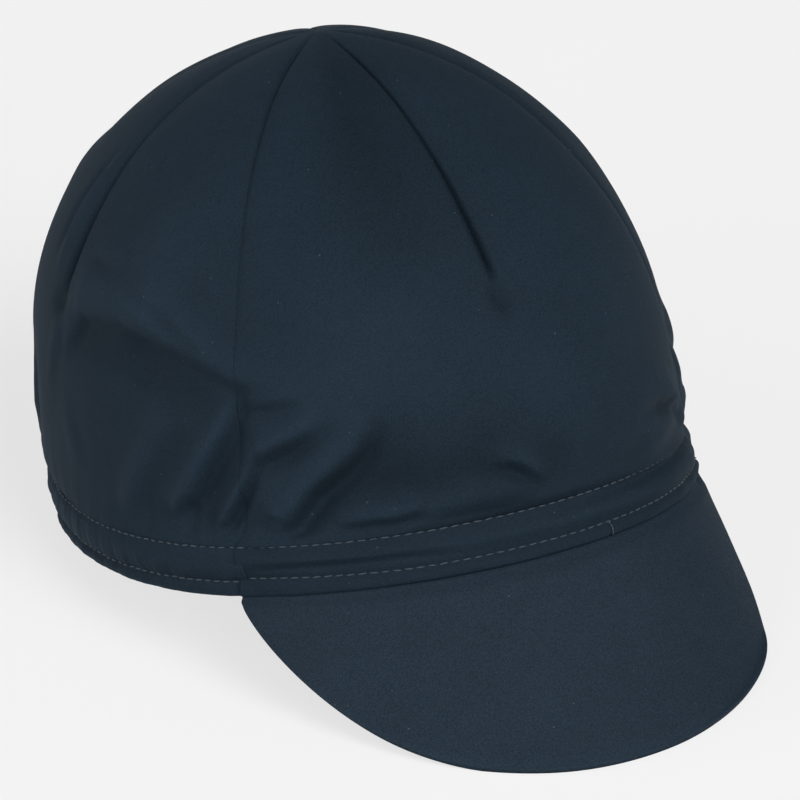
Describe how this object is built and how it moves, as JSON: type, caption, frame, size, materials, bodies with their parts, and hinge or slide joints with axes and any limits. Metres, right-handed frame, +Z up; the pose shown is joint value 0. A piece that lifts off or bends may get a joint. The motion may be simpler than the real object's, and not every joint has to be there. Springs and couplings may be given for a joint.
{
  "type": "cycling cap",
  "caption": "Soft cotton cycling cap with a panelled crown, a stitched front band, a gathered elastic back and a short peak, lying on its peak and rim.",
  "frame": {"origin": "middle of the cap's footprint, on the surface it lies on", "axes": "+Z up from the surface, the peak points to -Y, the wearer's right is -X"},
  "size_m": [0.169, 0.2492, 0.1375],
  "materials": {
    "crown_cloth": "plain dark navy cotton twill, matt with a faint sheen",
    "band_cloth": "the crown's cotton in two layers, topstitched in a slightly lighter thread",
    "elastic_cloth": "the crown's cotton gathered over elastic, with the same topstitching",
    "peak_cloth": "plain dark navy cotton stretched over a stiff core"
  },
  "bodies": {
    "root": {"crown_front_panel": "crown_cloth", "crown_right_panel": "crown_cloth", "crown_back_panel": "crown_cloth", "crown_left_panel": "crown_cloth", "front_band": "band_cloth", "back_band": "elastic_cloth", "peak": "peak_cloth"}
  },
  "joints": []
}
